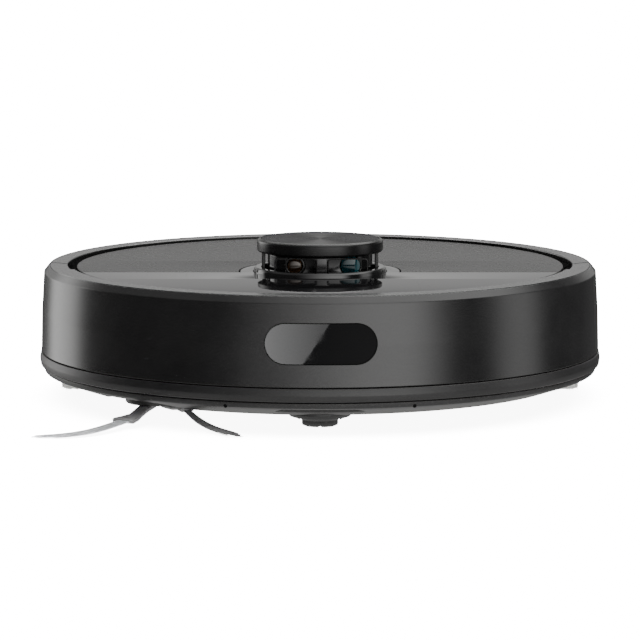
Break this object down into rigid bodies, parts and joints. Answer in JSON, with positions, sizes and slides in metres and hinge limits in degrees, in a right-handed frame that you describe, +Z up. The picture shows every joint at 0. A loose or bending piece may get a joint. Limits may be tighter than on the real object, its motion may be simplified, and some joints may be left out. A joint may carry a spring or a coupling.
{
  "type": "robot vacuum",
  "caption": "Round robot vacuum with a LIDAR turret, sprung bumper, flip-up rear lid, driven wheels, caster, roller brush, side brush and mop plate.",
  "frame": {"origin": "on the floor, under the middle of the round body", "axes": "+Z up, -Y the front with the bumper, +X to the right when the front is seen"},
  "size_m": [0.35, 0.35, 0.1015],
  "materials": {
    "satin_black": "satin",
    "gloss_black": "mirror gloss",
    "chassis_black": "fine moulded texture",
    "spun_black": "spun, dark anodised",
    "lens_glass": "coated glass",
    "rubber": "matte",
    "grey_plastic": "satin",
    "bristle_grey": "nylon filament",
    "mop_white": "microfibre pile",
    "steel": "brushed",
    "board_green": "solder mask",
    "battery_blue": "shrink wrap",
    "smoke_plastic": "smoked clear plastic",
    "filter_white": "pleated filter fleece",
    "red_accent": "satin"
  },
  "bodies": {
    "root": {"chassis_base": "chassis_black", "tub_wall": "chassis_black", "upper_chassis": "chassis_black", "rear_shell": "satin_black", "rear_skirt": "chassis_black", "front_panel": "gloss_black", "lid_hinge_left": "steel", "lid_hinge_right": "steel", "lidar_base": "gloss_black", "lidar_cap": "spun_black", "lidar_motor": "steel", "lidar_belt": "rubber", "main_board": "board_green", "battery_pack": "battery_blue", "battery_cover": "chassis_black", "brush_housing": "chassis_black", "roller_gearbox": "grey_plastic", "roller_motor": "steel", "side_brush_gearbox": "grey_plastic", "caster_housing": "chassis_black", "fan_housing": "chassis_black", "charge_contact_left": "steel", "charge_contact_right": "steel", "wheel_pivot_left": "steel", "wheel_pivot_right": "steel", "bumper_spring_left": "steel", "bumper_spring_right": "steel", "dust_bin": "smoke_plastic", "bin_cover": "grey_plastic", "dust_filter": "filter_white", "bin_handle": "red_accent"},
    "bumper": {"front_bumper": "satin_black", "bumper_skirt": "chassis_black", "front_window": "gloss_black", "sensor_module": "chassis_black"},
    "lid": {"rear_lid": "satin_black"},
    "turret_head": {"lidar_head": "gloss_black", "lidar_emitter_lens": "lens_glass", "lidar_receiver_lens": "lens_glass"},
    "turret_pulley": {"lidar_pulley": "grey_plastic"},
    "left_arm": {"wheel_arm_left": "chassis_black"},
    "left_wheel": {"wheel_hub_left": "grey_plastic", "tyre_left": "rubber"},
    "right_arm": {"wheel_arm_right": "chassis_black"},
    "right_wheel": {"wheel_hub_right": "grey_plastic", "tyre_right": "rubber"},
    "caster_swivel": {"caster_fork": "chassis_black", "caster_axle": "steel"},
    "caster_roller": {"caster_wheel": "rubber"},
    "side_brush": {"side_brush_hub": "grey_plastic", "bristles_left_arm": "bristle_grey", "bristles_right_arm": "bristle_grey", "bristles_rear_arm": "bristle_grey"},
    "roller": {"roller_brush": "rubber"},
    "guard": {"brush_guard": "grey_plastic"},
    "fan": {"fan_impeller": "grey_plastic"},
    "mop": {"mop_plate": "chassis_black", "mop_pad": "mop_white"},
    "button": {"power_button": "grey_plastic"}
  },
  "joints": [
    {"name": "bumper_press", "type": "slide", "parent": "root", "child": "bumper", "axis": [0, 1, 0], "range_m": [0, 0.002], "stiffness_N_per_m": 500, "springref_m": -0.002},
    {"name": "lid_open", "type": "hinge", "parent": "root", "child": "lid", "pos_m": [0, -0.0386, 0.0794], "axis": [1, 0, 0], "range_deg": [0, 75]},
    {"name": "lidar_spin", "type": "hinge", "parent": "root", "child": "turret_head", "pos_m": [0, -0.033, 0.087], "axis": [0, 0, 1], "continuous": true},
    {"name": "lidar_pulley_spin", "type": "hinge", "parent": "root", "child": "turret_pulley", "pos_m": [-0.06, -0.072, 0.0615], "axis": [0, 0, 1], "continuous": true},
    {"name": "left_wheel_drop", "type": "hinge", "parent": "root", "child": "left_arm", "pos_m": [0.098, 0.052, 0.04], "axis": [1, 0, 0], "range_deg": [0, 18], "stiffness_Nm_per_rad": 0.25, "springref_deg": 34.38},
    {"name": "left_wheel_spin", "type": "hinge", "parent": "left_arm", "child": "left_wheel", "pos_m": [0.117, 0, 0.034], "axis": [1, 0, 0], "continuous": true},
    {"name": "right_wheel_drop", "type": "hinge", "parent": "root", "child": "right_arm", "pos_m": [-0.098, 0.052, 0.04], "axis": [1, 0, 0], "range_deg": [0, 18], "stiffness_Nm_per_rad": 0.25, "springref_deg": 34.38},
    {"name": "right_wheel_spin", "type": "hinge", "parent": "right_arm", "child": "right_wheel", "pos_m": [-0.117, 0, 0.034], "axis": [1, 0, 0], "continuous": true},
    {"name": "caster_swivel_turn", "type": "hinge", "parent": "root", "child": "caster_swivel", "pos_m": [0, -0.135, 0.015], "axis": [0, 0, 1], "continuous": true},
    {"name": "caster_wheel_spin", "type": "hinge", "parent": "caster_swivel", "child": "caster_roller", "pos_m": [0, -0.133, 0.0105], "axis": [1, 0, 0], "continuous": true},
    {"name": "side_brush_spin", "type": "hinge", "parent": "root", "child": "side_brush", "pos_m": [-0.097, -0.1, 0.008], "axis": [0, 0, 1], "continuous": true, "deforming": ["bristles_left_arm", "bristles_right_arm", "bristles_rear_arm"]},
    {"name": "roller_spin", "type": "hinge", "parent": "root", "child": "roller", "pos_m": [0, -0.03, 0.025], "axis": [1, 0, 0], "continuous": true},
    {"name": "guard_release", "type": "slide", "parent": "root", "child": "guard", "axis": [0, 0, -1], "range_m": [0, 0.03]},
    {"name": "fan_spin", "type": "hinge", "parent": "root", "child": "fan", "pos_m": [0, 0.121, 0.035], "axis": [0, 0, 1], "continuous": true},
    {"name": "mop_release", "type": "slide", "parent": "root", "child": "mop", "axis": [0, 1, 0], "range_m": [0, 0.12]},
    {"name": "power_button_press", "type": "slide", "parent": "root", "child": "button", "axis": [0, 0, -1], "range_m": [0, 0.001], "stiffness_N_per_m": 800, "springref_m": -0.0005}
  ],
  "couplings": [
    {"joint": "lidar_pulley_spin", "follows": "lidar_spin", "ratio": 5.717}
  ]
}
